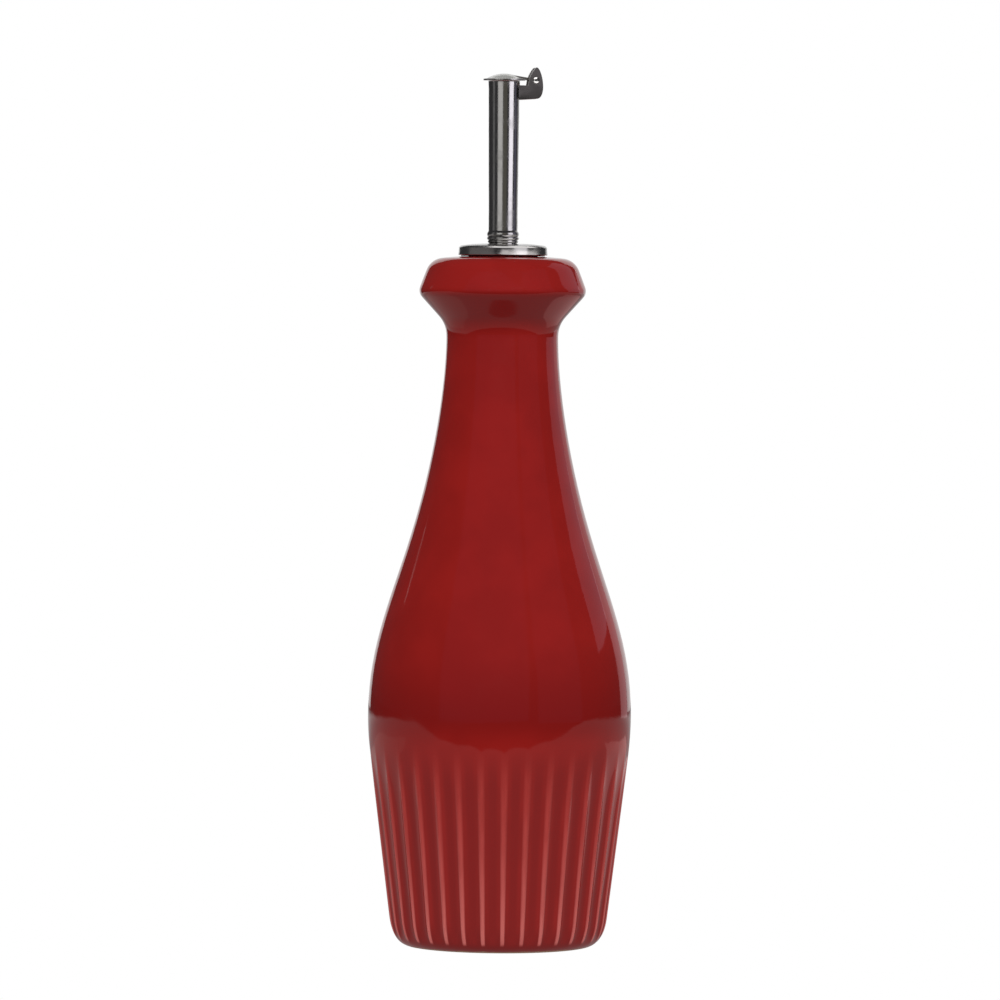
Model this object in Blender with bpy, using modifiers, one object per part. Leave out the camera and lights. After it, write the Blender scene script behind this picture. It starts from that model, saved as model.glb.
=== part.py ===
# Glazed vinegar cruet with a steel pouring spout and a hinged flap, in metres, +Z up.
# The origin is the centre of the circle on which the foot ring stands.
# The flap's hinge axis is parallel to Y, on the +X side of the spout.

import math

import bmesh
import bpy
from mathutils import Vector
from mathutils.geometry import interpolate_bezier

MM = 0.001

# Whole object
HEIGHT = 185.0 * MM  # foot ring to the tips of the hinge ears
GAP = 0.12 * MM  # clearance between pieces that touch
MERGE_DISTANCE = 0.001 * MM

# Bottle outside, from the foot up: radii are at the crests of the flutes
FOOT_RADIUS = 17.9 * MM
FOOT_RING_WIDTH = 2.6 * MM
FOOT_RECESS = 1.6 * MM
SIDE_FOOT = Vector((22.9 * MM, 7.0 * MM))  # where the straight side begins
SIDE_TOP = Vector((27.0 * MM, 40.0 * MM))  # where it turns into the belly
BELLY = Vector((27.7 * MM, 49.6 * MM))
SHOULDER = Vector((19.7 * MM, 83.2 * MM))
SHOULDER_LEAN = -0.33  # change of radius with height
NECK = Vector((11.75 * MM, 127.5 * MM))
COVE_HEIGHT = 128.6 * MM
COVE_RADIUS = 6.0 * MM  # concave bend under the collar
COLLAR_EDGE = Vector((17.85 * MM, 137.6 * MM))  # sharp corner, before it is rounded
COLLAR_ROUNDING = 2.2 * MM
COLLAR_TOP = Vector((15.15 * MM, 144.55 * MM))
COLLAR_TOP_ROUNDING = 4.0 * MM
BOTTLE_HEIGHT = 145.1 * MM
# How far each curve keeps its end direction, as shares of the curve's height: lower end, upper end
FOOT_PULL = (0.62, 0.36)
BELLY_PULL = (0.36, 0.38)
NECK_PULL = (0.44, 0.18)

# Flutes
FLUTE_COUNT = 34
FLUTE_COLUMNS = 4  # columns of faces in one flute
FLUTE_DEPTH = 0.65 * MM
FLUTE_START = 1.0 * MM
FLUTE_RISE = 3.2 * MM
FLUTE_END = 44.0 * MM
FLUTE_FADE = 7.5 * MM

# Bottle inside
WALL = 3.9 * MM
FLOOR = 4.0 * MM
CAVITY_CORNER = 7.0 * MM
MOUTH_RADIUS = 7.6 * MM
MOUTH_ROUNDING = 0.6 * MM
THROAT_LENGTH = 23.0 * MM
CAVITY_STEPS = 40

# Stopper and cap
PLUG_RADIUS = 7.3 * MM
PLUG_TAPER = 0.35 * MM
PLUG_LENGTH = 19.0 * MM
GASKET_RADIUS = 8.85 * MM
GASKET_THICKNESS = 0.5 * MM
CAP_RADIUS = 9.4 * MM
CAP_THICKNESS = 2.1 * MM
CAP_CROWN = 0.35 * MM
CAP_EDGE_ROUNDING = 0.8 * MM

# Spout tube
SPOUT_TOP = 182.1 * MM
SPOUT_WALL = 0.45 * MM
SPOUT_RADIUS = 3.01 * MM  # just above the beads
SPOUT_MIDDLE_RADIUS = 3.12 * MM
SPOUT_TOP_RADIUS = 3.22 * MM
SPOUT_RIM_RADIUS = 3.35 * MM
SPOUT_RIM_HEIGHT = 1.6 * MM
SPOUT_FOOT_RADIUS = 2.95 * MM  # where it goes through the cap
# Height and radius of each roll at the spout's foot, from the top down
BEADS = ((1.25 * MM, 3.36 * MM), (0.75 * MM, 3.38 * MM), (0.6 * MM, 3.22 * MM))
BEAD_GROOVE = 0.13 * MM
SPOUT_STEPS = 28

# Hinge
PIVOT = Vector((6.5 * MM, 182.3 * MM))  # distance from the spout's axis, height
EAR_SPAN = 4.0 * MM  # outer face to outer face
SHEET = 0.5 * MM
ARM_LOW = 178.1 * MM
ARM_HIGH = 181.2 * MM
EAR_REACH = 8.0 * MM
EAR_BACK = 4.95 * MM
WEB_INNER = 3.95 * MM
PIN_RADIUS = 0.36 * MM
PIN_HEAD_RADIUS = 0.68 * MM
PIN_HEAD_THICKNESS = 0.3 * MM
PIN_HOLE_RADIUS = 0.48 * MM

# Flap
FLAP_RADIUS = 4.4 * MM
FLAP_SHEET = 0.35 * MM
DOME_RADIUS = 3.5 * MM
DOME_HEIGHT = 0.95 * MM
STRAP_WIDTH = 2.6 * MM
BARREL_RADIUS = 0.85 * MM

# Colours as linear light
GLAZE_RED = (0.254, 0.0137, 0.0137, 1.0)
STEEL_GREY = (0.56, 0.55, 0.54, 1.0)
STOPPER_BLACK = (0.02, 0.02, 0.021, 1.0)


def clear_scene():
    for old in list(bpy.data.objects):
        bpy.data.objects.remove(old)


def new_collection(name):
    collection = bpy.data.collections.new(name)
    bpy.context.scene.collection.children.link(collection)
    return collection


def new_material(name, colour, roughness, metallic):
    material = bpy.data.materials.new(name)
    material.use_nodes = True
    shader = material.node_tree.nodes["Principled BSDF"]
    shader.inputs["Base Color"].default_value = colour
    shader.inputs["Roughness"].default_value = roughness
    shader.inputs["Metallic"].default_value = metallic
    material.diffuse_color = colour
    return material


def bezier(start, start_handle, end_handle, end, steps):
    """Points along a cubic curve, without its first."""
    return interpolate_bezier(start, start_handle, end_handle, end, steps + 1)[1:]


def rounded_corner(before, corner, after, radius, steps):
    """Points of the arc that rounds the corner between two straight stretches."""
    back = (before - corner).normalized()
    ahead = (after - corner).normalized()
    half_angle = back.angle(ahead) / 2
    centre = corner + (back + ahead).normalized() * radius / math.sin(half_angle)
    first = corner + back * radius / math.tan(half_angle) - centre
    last = corner + ahead * radius / math.tan(half_angle) - centre
    sweep = math.atan2(first.x * last.y - first.y * last.x, first.dot(last))
    start_angle = math.atan2(first.y, first.x)
    points = []
    for step in range(steps + 1):
        angle = start_angle + sweep * step / steps
        points.append(centre + radius * Vector((math.cos(angle), math.sin(angle))))
    return points


def smooth_step(value, low, high):
    fraction = min(max((value - low) / (high - low), 0.0), 1.0)
    return fraction * fraction * (3 - 2 * fraction)


def evaluated_copy(obj, name, collection):
    """A new mesh object with the modifiers of the old one made real; the old one is removed."""
    depsgraph = bpy.context.evaluated_depsgraph_get()
    mesh = bpy.data.meshes.new_from_object(obj.evaluated_get(depsgraph))
    matrix = obj.matrix_world.copy()
    bpy.data.objects.remove(obj)
    welded = bmesh.new()
    welded.from_mesh(mesh)
    bmesh.ops.remove_doubles(welded, verts=welded.verts, dist=MERGE_DISTANCE)
    welded.to_mesh(mesh)
    welded.free()
    copy = bpy.data.objects.new(name, mesh)
    mesh.name = name
    copy.matrix_world = matrix
    collection.objects.link(copy)
    return copy


def turned(name, outline, steps, collection, closed=False):
    """A solid of revolution about Z. The outline runs down its outer side, top to bottom."""
    mesh = bpy.data.meshes.new(name)
    count = len(outline)
    edges = [(index, index + 1) for index in range(count - 1)]
    if closed:
        edges.append((count - 1, 0))
    mesh.from_pydata([(point.x, 0.0, point.y) for point in outline], edges, [])
    obj = bpy.data.objects.new(name, mesh)
    collection.objects.link(obj)
    screw = obj.modifiers.new("Turn", "SCREW")
    screw.axis = "Z"
    screw.angle = 2 * math.pi
    screw.steps = steps
    screw.render_steps = steps
    screw.use_merge_vertices = True
    screw.merge_threshold = MERGE_DISTANCE
    screw.use_smooth_shade = True
    return obj


def extruded(name, outline, thickness, collection):
    """A flat plate in the XZ plane, centred on Y = 0, made from a closed outline."""
    curve = bpy.data.curves.new(name, "CURVE")
    curve.dimensions = "2D"
    curve.fill_mode = "BOTH"
    curve.extrude = thickness / 2
    spline = curve.splines.new("POLY")
    spline.points.add(len(outline) - 1)
    spline.use_cyclic_u = True
    for target, point in zip(spline.points, outline):
        target.co = (point.x, point.y, 0.0, 1.0)
    obj = bpy.data.objects.new(name, curve)
    obj.rotation_euler = (math.pi / 2, 0.0, 0.0)
    collection.objects.link(obj)
    bpy.context.view_layer.update()
    plate = evaluated_copy(obj, name, collection)
    plate.data.transform(plate.matrix_world)
    plate.matrix_world.identity()
    return plate


def rod_along_y(name, centre, radius, length, sides, collection):
    """A cylinder parallel to Y round a point given as distance from the spout's axis, height."""
    mesh = bpy.data.meshes.new(name)
    shape = bmesh.new()
    bmesh.ops.create_cone(
        shape, cap_ends=True, segments=sides, radius1=radius, radius2=radius, depth=length
    )
    shape.to_mesh(mesh)
    shape.free()
    obj = bpy.data.objects.new(name, mesh)
    obj.rotation_euler = (math.pi / 2, 0.0, 0.0)
    obj.location = (centre.x, 0.0, centre.y)
    collection.objects.link(obj)
    return obj


def box(name, low, high, collection):
    mesh = bpy.data.meshes.new(name)
    shape = bmesh.new()
    bmesh.ops.create_cube(shape, size=1.0)
    size = high - low
    for vert in shape.verts:
        vert.co = Vector((vert.co.x * size.x, vert.co.y * size.y, vert.co.z * size.z))
    shape.to_mesh(mesh)
    shape.free()
    obj = bpy.data.objects.new(name, mesh)
    obj.location = (low + high) / 2
    collection.objects.link(obj)
    return obj


def boolean(obj, tool, operation):
    modifier = obj.modifiers.new(operation.title(), "BOOLEAN")
    modifier.operation = operation
    modifier.solver = "EXACT"
    modifier.object = tool
    tool.hide_render = True
    tool.display_type = "WIRE"


def shade(obj, material, sharp_angle=30.0):
    obj.data.materials.clear()
    obj.data.materials.append(material)
    obj.data.shade_smooth()
    obj.data.set_sharp_from_angle(angle=math.radians(sharp_angle))


def bottle_outline():
    """The outside of the bottle, from the middle of its mouth down to the middle of its base."""
    foot_edge = Vector((FOOT_RADIUS, 0.0))
    side_direction = (SIDE_TOP - SIDE_FOOT).normalized()
    up = Vector((0.0, 1.0))
    outward = Vector((1.0, 0.0))
    shoulder_direction = Vector((SHOULDER_LEAN, 1.0)).normalized()
    foot_height = SIDE_FOOT.y
    cove_end = NECK.x + COVE_RADIUS * (1 - math.cos(math.pi / 4))
    cove_top = Vector((cove_end, COVE_HEIGHT + COVE_RADIUS * math.sin(math.pi / 4)))

    points = [Vector((0.0, FOOT_RECESS)), Vector((FOOT_RADIUS - 1.6 * FOOT_RING_WIDTH, FOOT_RECESS))]
    points += [Vector((FOOT_RADIUS - FOOT_RING_WIDTH, 0.0)), foot_edge]
    points += bezier(
        foot_edge, foot_edge + outward * FOOT_PULL[0] * foot_height,
        SIDE_FOOT - side_direction * FOOT_PULL[1] * foot_height, SIDE_FOOT, 5,
    )
    for fraction in (0.45, 0.895):
        points.append(SIDE_FOOT.lerp(SIDE_TOP, fraction))
    points.append(SIDE_TOP)
    bend = (BELLY.y - SIDE_TOP.y) / 3
    points += bezier(SIDE_TOP, SIDE_TOP + side_direction * bend, BELLY - up * bend, BELLY, 4)
    rise = SHOULDER.y - BELLY.y
    points += bezier(
        BELLY, BELLY + up * BELLY_PULL[0] * rise,
        SHOULDER - shoulder_direction * BELLY_PULL[1] * rise, SHOULDER, 6,
    )
    rise = NECK.y - SHOULDER.y
    points += bezier(
        SHOULDER, SHOULDER + shoulder_direction * NECK_PULL[0] * rise,
        NECK - up * NECK_PULL[1] * rise, NECK, 6,
    )
    cove_start = Vector((NECK.x, COVE_HEIGHT))
    cove_corner = Vector((NECK.x, cove_top.y - (cove_top.x - NECK.x)))
    points += rounded_corner(cove_start, cove_corner, cove_top, COVE_RADIUS, 3)
    points += rounded_corner(cove_top, COLLAR_EDGE, COLLAR_TOP, COLLAR_ROUNDING, 4)
    lip = Vector((MOUTH_RADIUS, BOTTLE_HEIGHT))
    points += rounded_corner(COLLAR_EDGE, COLLAR_TOP, lip, COLLAR_TOP_ROUNDING, 4)
    points += [lip, Vector((0.0, BOTTLE_HEIGHT))]
    return points[::-1]


def cavity_outline():
    """The hollow of the bottle and its mouth, a little past the lip, top to bottom."""
    up = Vector((0.0, 1.0))
    inward = Vector((-WALL, 0.0))
    floor = FOOT_RECESS + FLOOR
    side_direction = (SIDE_TOP - SIDE_FOOT).normalized()
    corner_start = SIDE_FOOT + inward + side_direction * CAVITY_CORNER
    floor_edge = Vector((corner_start.x - CAVITY_CORNER, floor))
    side_top = SIDE_TOP + inward
    belly = BELLY + inward
    shoulder = SHOULDER + inward
    shoulder_direction = Vector((SHOULDER_LEAN, 1.0)).normalized()
    throat = Vector((MOUTH_RADIUS, BOTTLE_HEIGHT - THROAT_LENGTH))

    points = [Vector((0.0, floor)), floor_edge]
    points += bezier(
        floor_edge, floor_edge + Vector((0.55 * CAVITY_CORNER, 0.0)),
        corner_start - side_direction * 0.55 * CAVITY_CORNER, corner_start, 3,
    )
    points.append(side_top)
    bend = (belly.y - side_top.y) / 3
    points += bezier(side_top, side_top + side_direction * bend, belly - up * bend, belly, 2)
    rise = shoulder.y - belly.y
    points += bezier(
        belly, belly + up * BELLY_PULL[0] * rise,
        shoulder - shoulder_direction * BELLY_PULL[1] * rise, shoulder, 4,
    )
    rise = throat.y - shoulder.y
    points += bezier(
        shoulder, shoulder + shoulder_direction * NECK_PULL[0] * rise,
        throat - up * NECK_PULL[1] * rise, throat, 4,
    )
    lip = Vector((MOUTH_RADIUS, BOTTLE_HEIGHT))
    flare = Vector((MOUTH_RADIUS + 2 * MOUTH_ROUNDING, BOTTLE_HEIGHT + MOUTH_ROUNDING))
    points += [lip - up * MOUTH_ROUNDING, flare, Vector((0.0, flare.y))]
    return points[::-1]


def flute_depth(height):
    rise = smooth_step(height, FLUTE_START, FLUTE_START + FLUTE_RISE)
    fade = smooth_step(height, FLUTE_END - FLUTE_FADE, FLUTE_END)
    return FLUTE_DEPTH * rise * (1 - fade)


def cut_flutes(shape):
    """Pulls the surface in between the crests; each valley is a shallow arc."""
    for vert in shape.verts:
        radius = math.hypot(vert.co.x, vert.co.y)
        if radius < FOOT_RADIUS:
            continue
        turn = math.atan2(vert.co.y, vert.co.x) / (2 * math.pi) * FLUTE_COUNT
        across = 2 * (turn - math.floor(turn)) - 1
        pull = flute_depth(vert.co.z) * (1 - across * across)
        vert.co.x *= 1 - pull / radius
        vert.co.y *= 1 - pull / radius


def halve_plain_columns(shape):
    """Above the flutes and under the foot every second column of faces is merged with the next."""
    columns = FLUTE_COUNT * FLUTE_COLUMNS
    spare = []
    for edge in shape.edges:
        low = min(vert.co.z for vert in edge.verts)
        outer = max(math.hypot(vert.co.x, vert.co.y) for vert in edge.verts)
        plain = low > FLUTE_END or outer < FOOT_RADIUS + MERGE_DISTANCE
        middle = (edge.verts[0].co + edge.verts[1].co) / 2
        column = math.atan2(middle.y, middle.x) / (2 * math.pi) * columns
        lengthwise = abs(column - round(column)) < 0.01
        if plain and lengthwise and round(column) % 2:
            spare.append(edge)
    bmesh.ops.dissolve_edges(shape, edges=spare, use_verts=True)


def make_bottle(parts, cutters, material):
    rough = turned("bottle_turned", bottle_outline(), FLUTE_COUNT * FLUTE_COLUMNS, cutters)
    bpy.context.view_layer.update()
    bottle = evaluated_copy(rough, "bottle", parts)
    shape = bmesh.new()
    shape.from_mesh(bottle.data)
    cut_flutes(shape)
    halve_plain_columns(shape)
    shape.to_mesh(bottle.data)
    shape.free()
    cavity = turned("cavity_cutter", cavity_outline(), CAVITY_STEPS, cutters)
    boolean(bottle, cavity, "DIFFERENCE")
    shade(bottle, material, sharp_angle=28.0)
    return bottle


def make_stopper(parts, material):
    """A plug in the bottle's neck with the thin gasket on which the cap sits, bored for the spout."""
    top = BOTTLE_HEIGHT + GAP + GASKET_THICKNESS
    under = BOTTLE_HEIGHT + GAP
    bottom = BOTTLE_HEIGHT - PLUG_LENGTH
    bore = SPOUT_FOOT_RADIUS + GAP
    outline = [
        Vector((bore, top)), Vector((GASKET_RADIUS, top)), Vector((GASKET_RADIUS, under)),
        Vector((PLUG_RADIUS, under)), Vector((PLUG_RADIUS - PLUG_TAPER, bottom + PLUG_TAPER)),
        Vector((PLUG_RADIUS - 2 * PLUG_TAPER, bottom)), Vector((bore, bottom)),
    ]
    stopper = turned("stopper", outline, CAVITY_STEPS, parts, closed=True)
    shade(stopper, material)
    return stopper


def cap_base():
    return BOTTLE_HEIGHT + GASKET_THICKNESS + 2 * GAP


def make_cap(parts, material):
    """The round steel cap on the gasket, crowned on top and rounded at its edge."""
    base = cap_base()
    edge_top = Vector((CAP_RADIUS, base + CAP_THICKNESS - CAP_CROWN))
    hole = SPOUT_FOOT_RADIUS + GAP
    crown = Vector((hole, base + CAP_THICKNESS))
    low_edge = Vector((CAP_RADIUS, base))
    outline = [crown, crown.lerp(edge_top, 0.45) + Vector((0.0, 0.1 * MM))]
    outline += rounded_corner(crown, edge_top, low_edge, CAP_EDGE_ROUNDING, 4)
    outline += [low_edge + Vector((0.0, 0.3 * MM)), low_edge - Vector((0.25 * MM, 0.0))]
    outline.append(Vector((hole, base)))
    cap = turned("cap", outline, 2 * SPOUT_STEPS, parts, closed=True)
    shade(cap, material)
    return cap


def bead_outline(top):
    """The rolls at the foot of the spout, top to bottom, with a groove between each and the next."""
    points = []
    high = top
    start = SPOUT_RADIUS
    for index, (height, crest) in enumerate(BEADS):
        if index + 1 < len(BEADS):
            end = min(crest, BEADS[index + 1][1]) - BEAD_GROOVE
        else:
            end = SPOUT_FOOT_RADIUS
        for step in range(1, 5):
            share = step / 4
            base = start + (end - start) * share
            bulge = (crest - (start + end) / 2) * math.sin(math.pi * share)
            points.append(Vector((base + bulge, high - height * share)))
        high -= height
        start = end
    return points


def make_spout(parts, material):
    """A long tube that widens a little upwards and goes down through the cap and the stopper."""
    beads_top = cap_base() + CAP_THICKNESS + GAP + sum(height for height, _ in BEADS)
    bottom = BOTTLE_HEIGHT - PLUG_LENGTH - 2 * MM
    length = SPOUT_TOP - beads_top
    bore = SPOUT_FOOT_RADIUS - SPOUT_WALL
    outline = [
        Vector((SPOUT_RIM_RADIUS - 0.12 * MM, SPOUT_TOP)),
        Vector((SPOUT_RIM_RADIUS, SPOUT_TOP - 0.12 * MM)),
        Vector((SPOUT_TOP_RADIUS, SPOUT_TOP - SPOUT_RIM_HEIGHT)),
        Vector((SPOUT_MIDDLE_RADIUS, beads_top + 0.5 * length)),
        Vector((SPOUT_RADIUS, beads_top + 0.15 * length)),
        Vector((SPOUT_RADIUS, beads_top)),
    ]
    outline += bead_outline(beads_top)
    outline += [
        Vector((SPOUT_FOOT_RADIUS, bottom)),
        Vector((bore, bottom)),
        Vector((bore, beads_top)),
        Vector((SPOUT_TOP_RADIUS - SPOUT_WALL, SPOUT_TOP - SPOUT_RIM_HEIGHT)),
        Vector((SPOUT_RIM_RADIUS - SPOUT_WALL, SPOUT_TOP)),
    ]
    spout = turned("spout", outline, SPOUT_STEPS, parts, closed=True)
    shade(spout, material)
    return spout


def ear_outline():
    """Side view of the bracket: an arm along X that ends in a tall lobe round the pivot."""
    start = 2.4 * MM
    heel = Vector((6.8 * MM, ARM_LOW + 0.3 * MM))
    reach = Vector((EAR_REACH, 180.9 * MM))
    tip = Vector((PIVOT.x + 0.05 * MM, HEIGHT))
    back = Vector((EAR_BACK + 0.1 * MM, PIVOT.y + 0.1 * MM))
    notch = Vector((EAR_BACK - 0.1 * MM, ARM_HIGH))
    points = [Vector((start, ARM_LOW)), heel]
    points += bezier(heel, heel + Vector((0.8 * MM, 0.08 * MM)), reach - Vector((0.0, 1.3 * MM)), reach, 5)
    points += bezier(reach, reach + Vector((0.0, 1.7 * MM)), tip + Vector((0.62 * MM, 0.0)), tip, 7)
    points += bezier(tip, tip - Vector((0.5 * MM, 0.0)), back + Vector((0.25 * MM, 0.9 * MM)), back, 5)
    points += [notch, Vector((start, ARM_HIGH))]
    return points


def make_bracket(parts, cutters, material):
    """A U of sheet steel: a web against the spout and two ears that carry the pin."""
    bracket = extruded("bracket", ear_outline(), EAR_SPAN, parts)
    inner = EAR_SPAN / 2 - SHEET
    slot = box(
        "ear_slot_cutter", Vector((WEB_INNER, -inner, ARM_LOW - MM)),
        Vector((EAR_REACH + MM, inner, HEIGHT + MM)), cutters,
    )
    saddle_radius = SPOUT_RIM_RADIUS + GAP
    saddle = turned(
        "saddle_cutter",
        [
            Vector((0.0, HEIGHT)), Vector((saddle_radius, HEIGHT)),
            Vector((saddle_radius, ARM_LOW - MM)), Vector((0.0, ARM_LOW - MM)),
        ],
        SPOUT_STEPS, cutters,
    )
    hole = rod_along_y("ear_hole_cutter", PIVOT, PIN_HOLE_RADIUS, 2 * EAR_SPAN, 16, cutters)
    for cutter in (slot, saddle, hole):
        boolean(bracket, cutter, "DIFFERENCE")
    shade(bracket, material)
    return bracket


def make_pin(parts, material):
    """The hinge pin with a low rounded head outside each ear; its origin is on the hinge axis."""
    face = EAR_SPAN / 2 + GAP
    end = face + PIN_HEAD_THICKNESS
    crown = 0.55 * PIN_HEAD_RADIUS
    half = [
        Vector((0.0, end)), Vector((crown, end)), Vector((PIN_HEAD_RADIUS, face + 0.12 * MM)),
        Vector((PIN_HEAD_RADIUS, face)), Vector((PIN_RADIUS, face)),
    ]
    mirrored = [Vector((point.x, -point.y)) for point in reversed(half)]
    pin = turned("pin", half + mirrored, 16, parts)
    pin.rotation_euler = (math.pi / 2, 0.0, 0.0)
    pin.location = (PIVOT.x, 0.0, PIVOT.y)
    shade(pin, material)
    return pin


def make_flap(parts, cutters, material):
    """A thin domed lid over the spout's mouth, with a strap to a barrel round the pin."""
    under = SPOUT_TOP + GAP
    top = under + FLAP_SHEET
    outer = Vector((DOME_RADIUS, top))
    inner = Vector((DOME_RADIUS - FLAP_SHEET, under))
    dome_radius = (DOME_RADIUS**2 + DOME_HEIGHT**2) / (2 * DOME_HEIGHT)
    outline = []
    steps = 5
    for step in range(steps):
        radius = DOME_RADIUS * step / steps
        height = math.sqrt(dome_radius**2 - radius**2) - dome_radius + DOME_HEIGHT
        outline.append(Vector((radius, top + height)))
    outline += [
        outer, Vector((FLAP_RADIUS - 0.1 * MM, top)), Vector((FLAP_RADIUS, top - 0.1 * MM)),
        Vector((FLAP_RADIUS, under)), inner,
    ]
    for step in range(2, steps, 2):
        radius = inner.x * (1 - step / steps)
        height = math.sqrt(dome_radius**2 - radius**2) - dome_radius + DOME_HEIGHT
        outline.append(Vector((radius, under + height)))
    outline.append(Vector((0.0, under + DOME_HEIGHT)))
    rough = turned("flap_dome", outline, SPOUT_STEPS, cutters)
    bpy.context.view_layer.update()
    flap = evaluated_copy(rough, "flap", parts)

    half_width = STRAP_WIDTH / 2
    strap = box(
        "flap_strap", Vector((DOME_RADIUS + 0.2 * MM, -half_width, under)),
        Vector((PIVOT.x, half_width, top)), cutters,
    )
    barrel = rod_along_y("flap_barrel", PIVOT, BARREL_RADIUS, STRAP_WIDTH, 20, cutters)
    hole = rod_along_y("flap_hole_cutter", PIVOT, PIN_HOLE_RADIUS, 2 * STRAP_WIDTH, 16, cutters)
    boolean(flap, strap, "UNION")
    boolean(flap, barrel, "UNION")
    boolean(flap, hole, "DIFFERENCE")
    hinge = bpy.data.objects.new("hinge_axis", None)
    hinge.location = (PIVOT.x, 0.0, PIVOT.y)
    parts.objects.link(hinge)
    bpy.context.view_layer.update()
    flap.parent = hinge
    flap.matrix_parent_inverse = hinge.matrix_world.inverted()
    shade(flap, material)
    return flap


def main():
    clear_scene()
    parts = new_collection("vinegar_cruet")
    cutters = new_collection("cutters")
    make_bottle(parts, cutters, new_material("red_glaze", GLAZE_RED, 0.12, 0.0))
    make_stopper(parts, new_material("black_rubber", STOPPER_BLACK, 0.7, 0.0))
    make_cap(parts, new_material("cap_steel", STEEL_GREY, 0.25, 1.0))
    make_spout(parts, new_material("spout_steel", STEEL_GREY, 0.18, 1.0))
    make_bracket(parts, cutters, new_material("bracket_steel", STEEL_GREY, 0.35, 1.0))
    make_pin(parts, new_material("pin_steel", STEEL_GREY, 0.25, 1.0))
    make_flap(parts, cutters, new_material("flap_steel", STEEL_GREY, 0.2, 1.0))


main()
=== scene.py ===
import math

import bmesh
import bpy
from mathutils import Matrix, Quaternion, Vector
from mathutils.geometry import interpolate_bezier


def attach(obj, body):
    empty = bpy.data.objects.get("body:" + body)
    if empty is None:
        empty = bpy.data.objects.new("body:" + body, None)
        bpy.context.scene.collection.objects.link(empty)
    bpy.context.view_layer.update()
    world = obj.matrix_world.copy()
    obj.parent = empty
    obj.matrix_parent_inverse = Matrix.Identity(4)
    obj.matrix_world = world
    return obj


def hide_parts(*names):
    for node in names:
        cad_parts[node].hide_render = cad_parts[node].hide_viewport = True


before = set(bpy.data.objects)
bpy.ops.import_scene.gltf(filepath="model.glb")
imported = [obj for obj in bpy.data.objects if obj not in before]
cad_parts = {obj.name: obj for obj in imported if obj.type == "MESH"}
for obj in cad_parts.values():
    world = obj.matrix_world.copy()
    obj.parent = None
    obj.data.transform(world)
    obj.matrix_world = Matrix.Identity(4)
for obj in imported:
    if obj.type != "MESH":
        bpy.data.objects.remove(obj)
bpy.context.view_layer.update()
mm = 0.001
weldDistance = 0.002 * mm
print("frame loaded, nodes:", ", ".join(sorted(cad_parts)))


# Modelling helpers

def pickNothing():
    if bpy.context.mode != "OBJECT":
        bpy.ops.object.mode_set(mode="OBJECT")
    bpy.ops.object.select_all(action="DESELECT")  # the loaded nodes start out selected


def pickOnly(piece):
    pickNothing()
    piece.select_set(True)
    bpy.context.view_layer.objects.active = piece


def at(radius, height):
    return Vector((radius * mm, height * mm))


def curveTo(start, startHandle, endHandle, end, steps):
    return interpolate_bezier(start, startHandle, endHandle, end, steps + 1)[1:]


def roundCorner(before, corner, after, radius, steps):
    # points of the arc that rounds a corner between two straight stretches
    back = (before - corner).normalized()
    ahead = (after - corner).normalized()
    halfAngle = back.angle(ahead) / 2
    centre = corner + (back + ahead).normalized() * radius / math.sin(halfAngle)
    first = corner + back * radius / math.tan(halfAngle) - centre
    last = corner + ahead * radius / math.tan(halfAngle) - centre
    sweep = math.atan2(first.x * last.y - first.y * last.x, first.dot(last))
    startAngle = math.atan2(first.y, first.x)
    angles = [startAngle + sweep * step / steps for step in range(steps + 1)]
    return [centre + radius * Vector((math.cos(angle), math.sin(angle))) for angle in angles]


def easedStep(value, low, high):
    share = min(max((value - low) / (high - low), 0.0), 1.0)
    return share * share * (3 - 2 * share)


def drawLine(name, points, depth=0.0):
    # a plane merged to one point, then drawn out point by point in the XZ plane
    pickNothing()
    bpy.ops.mesh.primitive_plane_add(size=mm)
    piece = bpy.context.object
    piece.name = piece.data.name = name
    bpy.ops.object.mode_set(mode="EDIT")
    bpy.ops.mesh.select_mode(type="VERT")  # in edge mode a single point isn't extruded
    bpy.ops.mesh.select_all(action="SELECT")
    bpy.ops.mesh.merge(type="CENTER")
    bpy.ops.transform.translate(value=(points[0].x, depth, points[0].y))
    for before, point in zip(points, points[1:]):
        step = point - before
        bpy.ops.mesh.extrude_region_move(TRANSFORM_OT_translate={"value": (step.x, 0, step.y)})
    bpy.ops.mesh.select_all(action="SELECT")
    return piece


def spinPiece(name, profile, steps):
    piece = drawLine(name, profile)
    bpy.ops.mesh.spin(steps=steps, angle=2 * math.pi, center=(0, 0, 0), axis=(0, 0, 1))
    bpy.ops.mesh.select_all(action="SELECT")
    bpy.ops.mesh.remove_doubles(threshold=weldDistance)
    bpy.ops.mesh.normals_make_consistent(inside=False)
    bpy.ops.object.mode_set(mode="OBJECT")
    return piece


def addBlock(name, low, high):
    pickNothing()
    bpy.ops.mesh.primitive_cube_add(size=1, location=(low + high) / 2, scale=high - low)
    bpy.ops.object.transform_apply(location=True, rotation=True, scale=True)
    block = bpy.context.object
    block.name = block.data.name = name
    return block


def addRod(name, centre, radius, length, sides, lying=True):
    pickNothing()
    turn = (math.pi / 2, 0, 0) if lying else (0, 0, 0)
    bpy.ops.mesh.primitive_cylinder_add(
        vertices=sides, radius=radius, depth=length, location=centre, rotation=turn
    )
    bpy.ops.object.transform_apply(location=True, rotation=True, scale=True)
    rod = bpy.context.object
    rod.name = rod.data.name = name
    return rod


def applyModifier(piece, modifier):
    pickOnly(piece)
    bpy.ops.object.modifier_apply(modifier=modifier.name)


def combine(piece, tool, operation):
    modifier = piece.modifiers.new(operation.title(), "BOOLEAN")
    modifier.operation = operation
    modifier.solver = "EXACT"
    modifier.object = tool
    applyModifier(piece, modifier)
    bpy.data.objects.remove(tool)


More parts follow.
